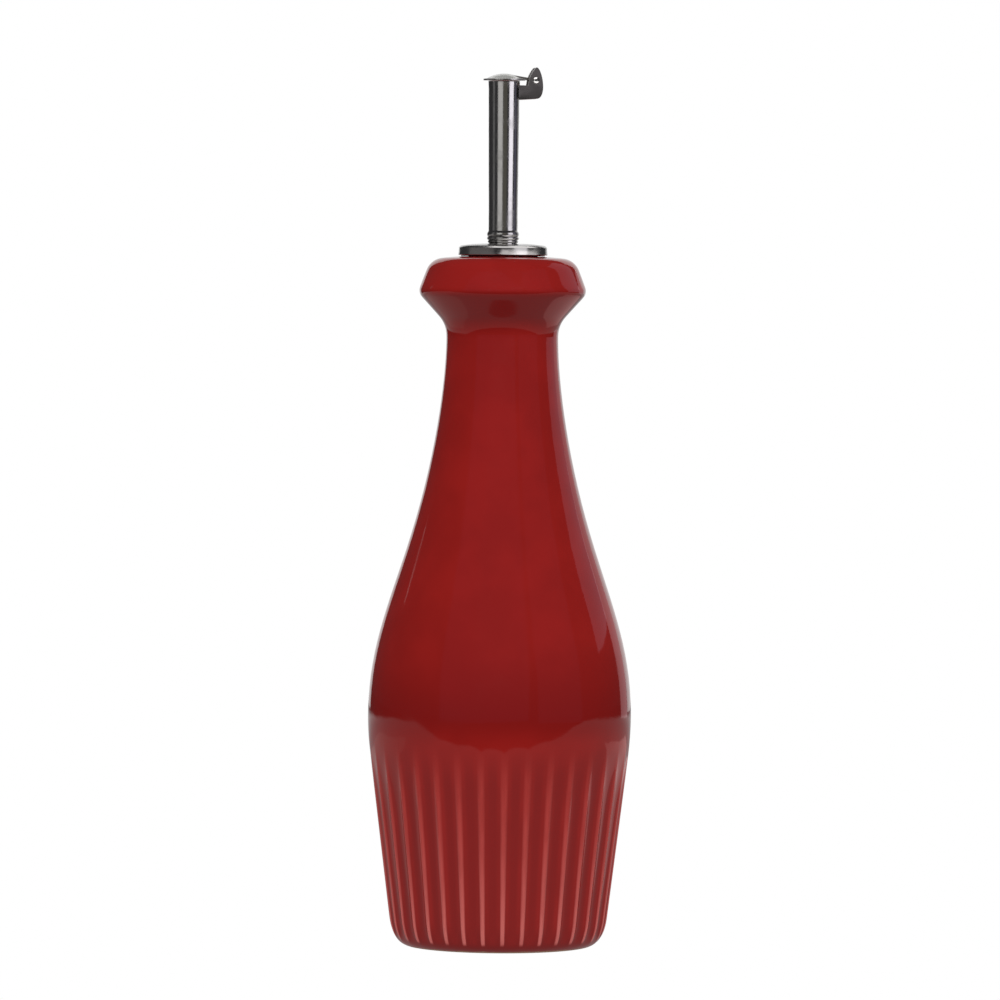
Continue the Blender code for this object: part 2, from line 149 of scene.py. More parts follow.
def softenEdges(piece, width, segments=2, angle=30.0):
    bevel = piece.modifiers.new("Edges", "BEVEL")
    bevel.width = width
    bevel.segments = segments
    bevel.limit_method = "ANGLE"
    bevel.angle_limit = math.radians(angle)
    bevel.use_clamp_overlap = True
    applyModifier(piece, bevel)


def dressPiece(piece, material, body, node, smoothAngle=35.0):
    piece.data.materials.clear()
    piece.data.materials.append(material)
    pickOnly(piece)
    bpy.ops.object.shade_smooth_by_angle(angle=math.radians(smoothAngle))
    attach(piece, body)
    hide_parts(node)
    piece.data.calc_loop_triangles()
    print(f"{piece.name}: {len(piece.data.loop_triangles)} triangles, stands for {node}")


# Material helpers

def addNode(tree, kind, x, y, **settings):
    node = tree.nodes.new(kind)
    node.location = (x, y)
    for name, value in settings.items():
        setattr(node, name, value)
    return node


def feed(tree, value, socket):
    if isinstance(value, bpy.types.NodeSocket):
        tree.links.new(value, socket)
    else:
        socket.default_value = value


def doMath(tree, x, y, operation, first, second=None, clamp=False):
    node = addNode(tree, "ShaderNodeMath", x, y, operation=operation, use_clamp=clamp)
    feed(tree, first, node.inputs[0])
    if second is not None:
        feed(tree, second, node.inputs[1])
    return node.outputs[0]


def remap(tree, x, y, value, fromLow, fromHigh, toLow=0.0, toHigh=1.0, smooth=True):
    kind = "SMOOTHSTEP" if smooth else "LINEAR"
    node = addNode(tree, "ShaderNodeMapRange", x, y, interpolation_type=kind)
    for socket, number in zip(node.inputs, (value, fromLow, fromHigh, toLow, toHigh)):
        feed(tree, number, socket)
    return node.outputs["Result"]


def bandAt(tree, x, y, height, rising, falling):
    # 1 within a band of heights, with a soft limit on either side, in mm
    lower = remap(tree, x - 200, y + 200, height, rising[0] * mm, rising[1] * mm)
    upper = remap(tree, x - 200, y, height, falling[0] * mm, falling[1] * mm)
    return doMath(tree, x, y, "MULTIPLY", upper, lower)


def tone(colour, brightness=1.0):
    return tuple(min(1.0, brightness * part) for part in colour) + (1.0,)


def mixColour(tree, x, y, share, first, second):
    node = addNode(tree, "ShaderNodeMix", x, y, data_type="RGBA")
    feed(tree, share, node.inputs["Factor"])
    feed(tree, first, node.inputs[6])
    feed(tree, second, node.inputs[7])
    return node.outputs[2]


def noiseAt(tree, x, y, vector, scale, detail=2.0, roughness=0.5):
    node = addNode(tree, "ShaderNodeTexNoise", x, y)
    feed(tree, vector, node.inputs["Vector"])
    node.inputs["Scale"].default_value = scale
    node.inputs["Detail"].default_value = detail
    node.inputs["Roughness"].default_value = roughness
    return node.outputs["Fac"]


def stretched(tree, x, y, vector, scale):
    node = addNode(tree, "ShaderNodeMapping", x, y, vector_type="POINT")
    feed(tree, vector, node.inputs["Vector"])
    node.inputs["Scale"].default_value = scale
    return node.outputs["Vector"]


def addBump(tree, x, y, height, distance, normal=None):
    node = addNode(tree, "ShaderNodeBump", x, y)
    node.inputs["Strength"].default_value = 1.0
    node.inputs["Distance"].default_value = distance
    feed(tree, height, node.inputs["Height"])
    if normal is not None:
        feed(tree, normal, node.inputs["Normal"])
    return node.outputs["Normal"]


def newMaterial(name, colour):
    material = bpy.data.materials.new(name)
    material.use_nodes = True
    material.diffuse_color = (*colour, 1.0)
    tree = material.node_tree
    shader = tree.nodes["Principled BSDF"]
    shader.location = (600, 0)
    tree.nodes["Material Output"].location = (900, 0)
    coordinates = addNode(tree, "ShaderNodeTexCoord", -1400, 0).outputs["Object"]
    return material, tree, shader, coordinates


# Finish of the bottle

glaze = {
    "deep": (0.352, 0.0143, 0.0116),
    "pooled": (0.325, 0.0122, 0.0105),  # in the valleys
    "darkBandAndFootShade": (0.290, 0.0108, 0.0094),  # a darker band above the flutes, and painted shade towards the foot
    "shaded": (0.250, 0.0100, 0.0088),  # painted shade under the collar
    # painted light: the collar's upward face is lighter
    "collar": (0.392, 0.0165, 0.0140),
    "thin": (0.58, 0.055, 0.046),  # where the crests show through, partly a painted highlight
    "bareGlazeAndHighlight": (0.93, 0.26, 0.235),  # thinnest, low on the crests, partly a painted highlight
    "clay": (0.52, 0.38, 0.25),
    "roughness": 0.055,
    "fluteCount": 34,
    "fluteEnd": 44.0,
    "footBand": (1.5, 2.4),  # the crests' light lines end here
    "clayLine": 0.42,
    "aboveFlutes": ((43, 50), (66, 48)),  # heights over which each band comes in and goes out
    "underCollar": ((128, 133), (138.5, 137)),
    "collarLitBand": (137.5, 139.5),
    "footShade": (6.5, 2.0),
}


def makeGlaze():
    material, tree, shader, place = newMaterial("redGlaze", glaze["deep"])
    axes = addNode(tree, "ShaderNodeSeparateXYZ", -1200, 0)
    feed(tree, place, axes.inputs[0])
    height = axes.outputs["Z"]

    # 1 on a crest, -1 in the middle of a valley
    angle = doMath(tree, -1000, 0, "ARCTAN2", axes.outputs["Y"], axes.outputs["X"])
    turns = doMath(tree, -850, 0, "MULTIPLY", angle, float(glaze["fluteCount"]))
    wave = doMath(tree, -700, 0, "COSINE", turns)

    low, high = (limit * mm for limit in glaze["footBand"])
    end = glaze["fluteEnd"] * mm
    above = remap(tree, -1000, -250, height, low, high)
    below = remap(tree, -1000, -450, height, end, 0.78 * end)
    fluted = doMath(tree, -800, -350, "MULTIPLY", above, below)
    thinness = remap(tree, -1000, -650, height, 0.86 * end, 0.0, 0.12, 1.0, smooth=False)
    narrow = remap(tree, -800, -650, height, 0.0, 0.8 * end, 0.72, 0.30, smooth=False)
    crest = remap(tree, -550, 0, wave, narrow, 1.0)
    crest = doMath(tree, -400, 0, "MULTIPLY", crest, fluted)
    streaks = noiseAt(tree, -550, -250, stretched(tree, -750, -900, place, (900, 900, 60)), 1.0)
    uneven = remap(tree, -400, -250, streaks, 0.35, 0.65, 0.8, 1.15)
    crest = doMath(tree, -250, 0, "MULTIPLY", crest, uneven)
    # the crests' lighter colour is part thin glaze and part painted highlight, stronger low down
    crestThinAndHighlight = doMath(tree, -250, -200, "MULTIPLY", crest, remap(
        tree, -400, -450, height, end, 0.4 * end, 0.5, 1.0), clamp=True)
    crestBareAndHighlight = doMath(tree, -250, -400, "MULTIPLY", crestThinAndHighlight, doMath(
        tree, -400, -650, "POWER", thinness, 2.7), clamp=True)

    blotches = remap(tree, -400, 300, noiseAt(tree, -600, 300, place, 95.0, 3.0), 0.35, 0.7)
    colour = mixColour(tree, -200, 300, blotches, tone(glaze["deep"]), tone(glaze["deep"], 1.13))
    aboveFlutes = bandAt(tree, -600, 600, height, *glaze["aboveFlutes"])
    underCollar = bandAt(tree, -600, 1300, height, *glaze["underCollar"])
    high, low = (limit * mm for limit in glaze["footShade"])
    nearFoot = remap(tree, -600, 800, height, high, low, 0.0, 0.8)
    # darker: a band above the flutes, and painted shade towards the foot
    darkBandAndFootShade = doMath(tree, -400, 700, "MAXIMUM", aboveFlutes, nearFoot)
    colour = mixColour(tree, -150, 450, darkBandAndFootShade, colour, tone(glaze["darkBandAndFootShade"]))
    # painted shade under the collar
    colour = mixColour(tree, -100, 800, underCollar, colour, tone(glaze["shaded"]))
    # painted light on the collar's upward face, made uneven by the blotches
    low, high = (limit * mm for limit in glaze["collarLitBand"])
    upper = doMath(tree, -600, 1000, "MULTIPLY", remap(
        tree, -800, 1000, height, low, high), remap(
        tree, -300, 600, blotches, 0.0, 1.0, 0.45, 1.0))
    colour = mixColour(tree, -50, 600, upper, colour, tone(glaze["collar"]))
    valley = doMath(tree, -400, 150, "MULTIPLY", remap(
        tree, -550, 150, wave, 0.2, -0.9), fluted)
    colour = mixColour(tree, 0, 300, valley, colour, tone(glaze["pooled"]))
    colour = mixColour(tree, 100, 150, crestThinAndHighlight, colour, tone(glaze["thin"]))
    colour = mixColour(tree, 200, 0, crestBareAndHighlight, colour, tone(glaze["bareGlazeAndHighlight"]))

    # unglazed foot ring, with an uneven edge
    edgeNoise = remap(tree, -400, -900, noiseAt(
        tree, -600, -900, place, 420.0, 3.0), 0.3, 0.7, -0.12 * mm, 0.12 * mm, smooth=False)
    edge = doMath(tree, -250, -900, "ADD", height, edgeNoise)
    line = glaze["clayLine"] * mm
    clay = remap(tree, -100, -900, edge, 1.15 * line, 0.85 * line)
    grit = noiseAt(tree, -100, -1150, place, 2600.0, 4.0, 0.7)
    clayColour = mixColour(tree, 100, -1000, grit, tone(glaze["clay"], 0.75), tone(glaze["clay"], 1.2))
    colour = mixColour(tree, 350, 100, clay, colour, clayColour)
    tree.links.new(colour, shader.inputs["Base Color"])

    # handling marks blur the gloss a little; the clay is dull
    marks = remap(tree, 0, -500, noiseAt(tree, -200, -600, place, 38.0, 4.0, 0.6), 0.5, 0.75)
    rough = remap(tree, 150, -500, marks, 0.0, 1.0, glaze["roughness"], 2.0 * glaze["roughness"])
    rough = doMath(tree, 300, -500, "ADD", rough, doMath(tree, 150, -700, "MULTIPLY", clay, 0.75))
    tree.links.new(rough, shader.inputs["Roughness"])
    shader.inputs["IOR"].default_value = 1.5

    # the glaze ran and set a little wavy, with a fine peel
    waves = addBump(tree, 150, -250, noiseAt(tree, -50, -250, place, 85.0, 2.0), 0.09 * mm)
    peel = addBump(tree, 300, -250, noiseAt(tree, 150, -800, place, 900.0, 2.0), 0.0035 * mm, waves)
    grain = addBump(tree, 450, -250, doMath(
        tree, 300, -1150, "MULTIPLY", grit, clay), 0.05 * mm, peel)
    tree.links.new(grain, shader.inputs["Normal"])
    return material


# Finish of the metal

def makeSteelGrain():
    # lines left by turning or rolling, with duller worn patches
    tree = bpy.data.node_groups.new("steelGrain", "ShaderNodeTree")
    for name, kind, start in (
        ("Vector", "NodeSocketVector", None),
        ("Lines", "NodeSocketVector", (60.0, 60.0, 4200.0)),
        ("Smooth", "NodeSocketFloat", 0.16),
        ("Worn", "NodeSocketFloat", 0.32),
        ("Bright", "NodeSocketColor", (0.62, 0.61, 0.60, 1.0)),
        ("Dull", "NodeSocketColor", (0.50, 0.49, 0.475, 1.0)),
    ):
        socket = tree.interface.new_socket(name=name, in_out="INPUT", socket_type=kind)
        if start is not None:
            socket.default_value = start
    for name, kind in (
        ("Colour", "NodeSocketColor"), ("Roughness", "NodeSocketFloat"), ("Height", "NodeSocketFloat")
    ):
        tree.interface.new_socket(name=name, in_out="OUTPUT", socket_type=kind)
    given = addNode(tree, "NodeGroupInput", -900, 0)
    result = addNode(tree, "NodeGroupOutput", 500, 0)
    scaled = addNode(tree, "ShaderNodeVectorMath", -700, 0, operation="MULTIPLY")
    feed(tree, given.outputs["Vector"], scaled.inputs[0])
    feed(tree, given.outputs["Lines"], scaled.inputs[1])
    lines = noiseAt(tree, -500, 0, scaled.outputs[0], 1.0, 4.0, 0.65)
    patches = remap(tree, -300, -250, noiseAt(
        tree, -500, -250, given.outputs["Vector"], 260.0, 4.0, 0.6), 0.42, 0.72)
    worn = doMath(tree, -100, -150, "ADD", doMath(
        tree, -300, -50, "MULTIPLY", lines, 0.45), doMath(
        tree, -300, -450, "MULTIPLY", patches, 0.55), clamp=True)
    rough = remap(tree, 100, -100, worn, 0.1, 0.8, given.outputs["Smooth"], given.outputs["Worn"])
    colour = mixColour(tree, 100, 150, worn, given.outputs["Bright"], given.outputs["Dull"])
    tree.links.new(colour, result.inputs["Colour"])
    tree.links.new(rough, result.inputs["Roughness"])
    tree.links.new(lines, result.inputs["Height"])
    return tree


steelGrain = makeSteelGrain()

steels = {
    "spoutSteel": {"lines": (60, 60, 4200), "smooth": 0.13, "worn": 0.26,
                   "depth": 0.0012, "anisotropy": 0.35},
    "capSteel": {"lines": (60, 60, 4200), "smooth": 0.16, "worn": 0.30,
                 "depth": 0.0012, "anisotropy": 0.3},
    "bracketSteel": {"lines": (90, 90, 2600), "smooth": 0.22, "worn": 0.38,
                     "depth": 0.002, "anisotropy": 0.0},
    "pinSteel": {"lines": (900, 900, 900), "smooth": 0.15, "worn": 0.28,
                 "depth": 0.001, "anisotropy": 0.0},
    "flapSteel": {"lines": (700, 700, 700), "smooth": 0.20, "worn": 0.34,
                  "depth": 0.001, "anisotropy": 0.0},
}


def makeSteel(name):
    finish = steels[name]
    material, tree, shader, place = newMaterial(name, (0.56, 0.55, 0.54))
    grain = addNode(tree, "ShaderNodeGroup", -600, 0, node_tree=steelGrain)
    feed(tree, place, grain.inputs["Vector"])
    grain.inputs["Lines"].default_value = finish["lines"]
    grain.inputs["Smooth"].default_value = finish["smooth"]
    grain.inputs["Worn"].default_value = finish["worn"]
    tree.links.new(grain.outputs["Colour"], shader.inputs["Base Color"])
    tree.links.new(grain.outputs["Roughness"], shader.inputs["Roughness"])
    normal = addBump(tree, 0, -300, grain.outputs["Height"], finish["depth"] * mm)
    tree.links.new(normal, shader.inputs["Normal"])
    shader.inputs["Metallic"].default_value = 1.0
    if finish["anisotropy"]:
        tangent = addNode(tree, "ShaderNodeTangent", 300, -400, direction_type="RADIAL", axis="Z")
        tree.links.new(tangent.outputs[0], shader.inputs["Tangent"])
        shader.inputs["Anisotropic"].default_value = finish["anisotropy"]
    return material


rubber = {"clean": (0.014, 0.014, 0.015), "dusty": (0.035, 0.034, 0.034), "smooth": 0.5, "worn": 0.72}


def makeRubber():
    material, tree, shader, place = newMaterial("blackRubber", (0.02, 0.02, 0.021))
    dust = remap(tree, -600, 0, noiseAt(tree, -800, 0, place, 700.0, 4.0, 0.6), 0.4, 0.8)
    colour = mixColour(tree, -300, 0, dust, tone(rubber["clean"]), tone(rubber["dusty"]))
    tree.links.new(colour, shader.inputs["Base Color"])
    rough = remap(tree, -300, -250, dust, 0.0, 1.0, rubber["smooth"], rubber["worn"])
    tree.links.new(rough, shader.inputs["Roughness"])
    normal = addBump(tree, 0, -300, noiseAt(tree, -800, -300, place, 2500.0, 3.0), 0.01 * mm)
    tree.links.new(normal, shader.inputs["Normal"])
    return material


redGlaze = makeGlaze()
blackRubber = makeRubber()
metal = {name: makeSteel(name) for name in steels}
print("materials ready")


# Ceramic body, mm

body = {
    "columns": 8,  # of faces in one flute
    "fluteDepth": 0.65,
    "crestLift": 0.20,  # the smoothing takes about half of this off a crest
    "fluteStart": 1.0,
    "fluteRise": 3.2,
    "fluteFade": 15.0,
    "foot": at(17.9, 0.0),
    "footRing": 2.6,
    "recess": 1.6,
    "sideFoot": at(22.95, 6.4),
    "sideTop": at(27.12, 40.0),
    "belly": at(27.7, 49.6),
    "shoulder": at(19.9, 83.4),
    "shoulderLean": Vector((-0.33, 1.0)).normalized(),
    "neck": at(11.75, 127.5),
    "coveHeight": 128.6,
    "coveRadius": 6.0,
    "collarEdge": at(17.85, 137.6),
    "collarTop": at(15.15, 144.75),
    "lip": at(7.6, 145.33),
    "wall": 3.9,
    "floor": 5.6,
    "throat": at(7.6, 122.1),
    "hub": 4.0,  # radius of the middles that are closed last
}


def bodyProfile():
    up = Vector((0.0, 1.0))
    foot, belly, neck, shoulder = (body[key] for key in ("foot", "belly", "neck", "shoulder"))
    sideFoot, sideTop, lean = body["sideFoot"], body["sideTop"], body["shoulderLean"]
    side = (sideTop - sideFoot).normalized()
    recess = body["recess"]
    ring = foot - at(body["footRing"], 0.0)
    inside = at(foot.x / mm - 1.6 * body["footRing"], recess)

    # underside, foot ring and the curve up from it
    points = [at(body["hub"], recess), at(0.6 * inside.x / mm, recess), inside - at(0.3, 0.0), inside]
    points += [ring - at(0.12, -0.12), ring + at(0.1, 0.0), foot - at(0.25, 0.0), foot - at(0.04, 0.0)]
    points += [foot, foot + at(0.05, 0.02)]
    reach = sideFoot.y
    points += curveTo(foot, foot + at(0.62 * reach / mm, 0.0), sideFoot - 0.36 * reach * side, sideFoot, 9)
    sideRings = 9
    points += [sideFoot.lerp(sideTop, (ring + 1) / sideRings) for ring in range(sideRings)]
    bend = (belly.y - sideTop.y) / 3
    points += curveTo(sideTop, sideTop + bend * side, belly - bend * up, belly, 5)
    rise = shoulder.y - belly.y
    points += curveTo(belly, belly + 0.36 * rise * up, shoulder - 0.38 * rise * lean, shoulder, 7)
    rise = neck.y - shoulder.y
    points += curveTo(shoulder, shoulder + 0.44 * rise * lean, neck - 0.18 * rise * up, neck, 8)

    # cove under the collar, its edge and its rounded top
    radius = body["coveRadius"] * mm
    turn = math.radians(45)
    coveStart = Vector((neck.x, body["coveHeight"] * mm))
    coveEnd = coveStart + radius * Vector((1 - math.cos(turn), math.sin(turn)))
    corner = Vector((neck.x, coveEnd.y - (coveEnd.x - neck.x)))
    points += roundCorner(coveStart, corner, coveEnd, radius, 5)
    points += roundCorner(coveEnd, body["collarEdge"], body["collarTop"], 2.2 * mm, 6)
    points += roundCorner(body["collarEdge"], body["collarTop"], body["lip"], 4.0 * mm, 6)

    # over the lip, down the throat and round the hollow
    lip, throat, wall = body["lip"], body["throat"], at(body["wall"], 0.0)
    points += [lip + at(0.7, 0.0), lip + at(0.15, -0.12), lip - at(0.0, 0.7), throat]
    hollow = shoulder - wall
    points += curveTo(throat, throat - 0.18 * rise * up, hollow + 0.44 * rise * lean, hollow, 4)
    points += [belly - wall, sideTop - wall, sideFoot - wall + at(0.4, 3.0)]
    floor = body["floor"]
    points += [at(15.5, floor + 1.2), at(11.0, floor), at(body["hub"], floor)]
    return points


def fluteDepth(height):
    start, end = body["fluteStart"] * mm, glaze["fluteEnd"] * mm
    rise = easedStep(height, start, start + body["fluteRise"] * mm)
    fade = easedStep(height, end - body["fluteFade"] * mm, end)
    return rise * (1 - fade)


def shapeFlutes(piece):
    # ring by ring, each class of columns is pulled in towards the axis
    columns = body["columns"]
    total = columns * glaze["fluteCount"]
    bpy.ops.object.mode_set(mode="EDIT")
    bpy.ops.mesh.select_mode(type="VERT")
    shape = bmesh.from_edit_mesh(piece.data)
    groups = {}
    for vert in shape.verts:
        radius = math.hypot(vert.co.x, vert.co.y)
        if radius < body["foot"].x + 0.5 * mm or not 0 < fluteDepth(vert.co.z):
            continue
        column = round(math.atan2(vert.co.y, vert.co.x) / (2 * math.pi) * total) % columns
        key = (round(vert.co.z / mm, 3), min(column, columns - column))
        groups.setdefault(key, []).append(vert.index)
    for (height, column), indices in sorted(groups.items()):
        bpy.ops.mesh.select_all(action="DESELECT")
        shape = bmesh.from_edit_mesh(piece.data)
        shape.verts.ensure_lookup_table()
        for index in indices:
            shape.verts[index].select = True
        shape.select_flush_mode()
        bmesh.update_edit_mesh(piece.data)
        radius = math.hypot(*shape.verts[indices[0]].co.xy)
        across = 1 - 2 * column / columns
        pull = body["fluteDepth"] * (1 - across * across)
        if column == 0:
            pull = -body["crestLift"]
        shrink = 1 - pull * mm * fluteDepth(height * mm) / radius
        bpy.ops.transform.resize(value=(shrink, shrink, 1), center_override=(0, 0, height * mm))
    bpy.ops.object.mode_set(mode="OBJECT")


def closeMiddle(piece, height):
    # the open ring at this height is drawn in to one point on the axis
    bpy.ops.object.mode_set(mode="EDIT")
    bpy.ops.mesh.select_mode(type="EDGE")
    bpy.ops.mesh.select_all(action="DESELECT")
    shape = bmesh.from_edit_mesh(piece.data)
    for edge in shape.edges:
        if edge.is_boundary and abs(edge.verts[0].co.z - height * mm) < 0.5 * mm:
            edge.select_set(True)
    bmesh.update_edit_mesh(piece.data)
    bpy.ops.mesh.extrude_region_move()
    bpy.ops.mesh.merge(type="CENTER")
    bpy.ops.object.mode_set(mode="OBJECT")


def makeBody():
    piece = spinPiece("cruetBody", bodyProfile(), body["columns"] * glaze["fluteCount"])
    shapeFlutes(piece)
    smoothing = piece.modifiers.new("Smoothing", "SUBSURF")
    smoothing.levels = smoothing.render_levels = 1
    applyModifier(piece, smoothing)
    closeMiddle(piece, body["recess"])
    closeMiddle(piece, body["floor"])
    dressPiece(piece, redGlaze, "cruet", "bottle", 60.0)


makeBody()


# Stopper, cap and spout, mm

closure = {
    "plugRadius": 7.3, "plugTop": 145.36, "plugBottom": 126.1, "plugTaper": 0.35,
    "gasketRadius": 8.85, "gasketLow": 145.33, "gasketHigh": 145.50,
    "bore": 3.07,
    "capRadius": 9.4, "capBase": 145.52, "capHeight": 2.42,
    "capCrown": 0.35, "capRounding": 0.95, "capWaist": 0.14,
    "spoutTop": 182.1, "spoutBottom": 124.1, "spoutFoot": 2.95, "spoutWall": 0.45,
    "spoutRadii": (3.07, 3.17, 3.27, 3.35), "rimHeight": 1.6,
    "beads": ((1.25, 3.36), (0.75, 3.38), (0.6, 3.22)),  # height and radius, from the top down
    "beadGroove": 0.13,
    "sides": 112,
}


def makeStopper():
    part = closure
    top, radius = part["plugTop"], part["plugRadius"]
    gasket, low, high = part["gasketRadius"], part["gasketLow"], part["gasketHigh"]
    bottom, taper, bore = part["plugBottom"], part["plugTaper"], part["bore"]
    profile = [at(bore, high), at(gasket - 0.05, high), at(gasket, high - 0.05)]
    profile += [at(gasket, low + 0.05), at(gasket - 0.05, low), at(radius, top)]
    profile += [at(radius - taper, bottom + taper), at(radius - 2 * taper, bottom)]
    profile += [at(bore, bottom), at(bore, high)]
    piece = spinPiece("rubberStopper", profile, part["sides"])
    dressPiece(piece, blackRubber, "cruet", "stopper")


def makeCap():
    part = closure
    base, radius, bore = part["capBase"], part["capRadius"], part["bore"]
    top = base + part["capHeight"]
    crown, waist, rounding = at(bore, top), radius - part["capWaist"], part["capRounding"]
    profile = [at(bore, base + 0.1), at(bore, top - 0.1), at(bore + 0.1, top)]

    # the rim rounds over to a faint edge, below which the side flares out again
    lowest, steps = math.radians(28), 8
    centre = at(waist - rounding * math.cos(lowest), top - part["capCrown"] - rounding)
    angles = [math.pi / 2 - (math.pi / 2 - lowest) * step / steps for step in range(steps + 1)]
    rim = [centre + rounding * mm * Vector((math.cos(angle), math.sin(angle))) for angle in angles]
    profile += [crown.lerp(rim[0], share) + at(0.0, 0.4 * share * (1 - share))
                for share in (0.25, 0.5, 0.75)]
    profile += rim
    high = rim[-1].y / mm - base
    profile += [at(radius - part["capWaist"] * (1 - share**2), base + high * (1 - share))
                for share in (0.2, 0.4, 0.6, 0.8)]
    profile += [at(radius, base + 0.12), at(radius - 0.12, base)]
    profile += [at(0.6 * radius, base), profile[0]]
    piece = spinPiece("steelCap", profile, part["sides"])
    dressPiece(piece, metal["capSteel"], "cruet", "cap", 24.0)


def beadProfile(top):
    # rolls at the foot of the spout, with a groove between each and the next
    beads, foot = closure["beads"], closure["spoutFoot"]
    points, high, start, steps = [], top, closure["spoutRadii"][0], 8
    for index, (height, crest) in enumerate(beads):
        last = index + 1 == len(beads)
        end = foot if last else min(crest, beads[index + 1][1]) - closure["beadGroove"]
        for step in range(1, steps + 1):
            share = step / steps
            bulge = (crest - (start + end) / 2) * math.sin(math.pi * share)
            points.append(at(start + (end - start) * share + bulge, high - height * share))
        high -= height
        start = end
    return points


def makeSpout():
    part = closure
    low, middle, high, rim = part["spoutRadii"]
    top, wall, foot = part["spoutTop"], part["spoutWall"], part["spoutFoot"]
    beadsTop = part["capBase"] + part["capHeight"] + 0.12 + sum(bead[0] for bead in part["beads"])
    length = top - beadsTop
    rimFoot = top - part["rimHeight"]
    profile = [at(rim - wall, top - 0.12), at(rim - wall + 0.12, top), at(rim - 0.14, top)]
    profile += [at(rim - 0.03, top - 0.05), at(rim, top - 0.16), at(high, rimFoot)]
    profile += [at(middle, beadsTop + 0.5 * length), at(low, beadsTop + 0.15 * length), at(low, beadsTop)]
    profile += beadProfile(beadsTop)
    bore = foot - wall
    profile += [at(foot, part["spoutBottom"]), at(bore, part["spoutBottom"]), at(bore, beadsTop)]
    profile += [at(high - wall, rimFoot), profile[0]]
    piece = spinPiece("pouringSpout", profile, part["sides"])
    dressPiece(piece, metal["spoutSteel"], "cruet", "spout", 25.0)


makeStopper()
makeCap()
makeSpout()


# Hinge and flap, mm

hinge = {
    "pivot": at(6.5, 182.3), "span": 4.0, "sheet": 0.5,
    "armStart": 2.4, "armLow": 178.1, "armHigh": 181.2, "reach": 8.0, "back": 4.95, "tip": 185.0,
    "webInner": 3.95, "saddle": 3.47,
    "pinRadius": 0.36, "pinHead": 0.68, "pinHeadHeight": 0.3, "pinHole": 0.48,
}


def earOutline():
    part = hinge
    start, pivot = part["armStart"], part["pivot"]
    heel = at(6.8, part["armLow"] + 0.3)
    reach = at(part["reach"], 180.9)
    tip = at(pivot.x / mm + 0.1, part["tip"])
    back = at(part["back"] + 0.1, pivot.y / mm + 0.1)
    points = [at(start, part["armLow"]), heel]
    points += curveTo(heel, heel + at(0.8, 0.08), reach - at(0.0, 1.3), reach, 8)
    points += curveTo(reach, reach + at(0.0, 1.9), tip + at(0.66, 0.0), tip, 12)
    # the back slopes enough for the open flap to pass
    points += curveTo(tip, tip - at(0.42, 0.0), back + at(0.2, 0.85), back, 9)
    points += [at(part["back"] - 0.1, part["armHigh"]), at(start, part["armHigh"])]
    return points


def makeBracket():
    part = hinge
    half = part["span"] / 2 * mm
    piece = drawLine("hingeBracket", earOutline(), depth=-half)
    bpy.ops.mesh.edge_face_add()
    bpy.ops.mesh.extrude_region_move(TRANSFORM_OT_translate={"value": (0, 2 * half, 0)})
    bpy.ops.mesh.select_all(action="SELECT")
    bpy.ops.mesh.normals_make_consistent(inside=False)
    bpy.ops.object.mode_set(mode="OBJECT")
    inner = half - part["sheet"] * mm
    low, high = part["armLow"] * mm, part["tip"] * mm
    slot = addBlock("slotTool", Vector((part["webInner"] * mm, -inner, low - mm)),
                    Vector((9 * mm, inner, high + mm)))
    combine(piece, slot, "DIFFERENCE")
    saddle = addRod("saddleTool", (0, 0, 181 * mm), part["saddle"] * mm, 10 * mm, 112, lying=False)
    combine(piece, saddle, "DIFFERENCE")
    pivot = (part["pivot"].x, 0, part["pivot"].y)
    combine(piece, addRod("holeTool", pivot, part["pinHole"] * mm, 6 * mm, 32), "DIFFERENCE")
    softenEdges(piece, 0.07 * mm, 3)
    dressPiece(piece, metal["bracketSteel"], "cruet", "bracket")


def makePin():
    part = hinge
    face = part["span"] / 2 + 0.12
    head, shaft, end = part["pinHead"], part["pinRadius"], face + part["pinHeadHeight"]
    steps = 6
    dome = [math.pi / 2 * step / steps for step in range(steps + 1)]
    edge = face + 0.08
    upper = [at(head * math.sin(angle), edge + (end - edge) * math.cos(angle)) for angle in dome]
    upper += [at(head, face), at(shaft, face)]
    lower = [Vector((point.x, -point.y)) for point in reversed(upper)]
    piece = spinPiece("hingePin", upper + lower, 40)
    pickOnly(piece)
    bpy.ops.object.mode_set(mode="EDIT")
    bpy.ops.mesh.select_all(action="SELECT")
    bpy.ops.transform.rotate(value=math.pi / 2, orient_axis="X", center_override=(0, 0, 0))
    bpy.ops.transform.translate(value=(part["pivot"].x, 0, part["pivot"].y))
    bpy.ops.object.mode_set(mode="OBJECT")
    dressPiece(piece, metal["pinSteel"], "cruet", "pin")


lid = {
    "radius": 4.4, "sheet": 0.35, "domeRadius": 3.75, "domeHeight": 1.08,
    "strapWidth": 2.6, "barrelRadius": 0.85, "gap": 0.12,
    "ridgeStart": 1.1, "ridgeRise": 0.86,
}


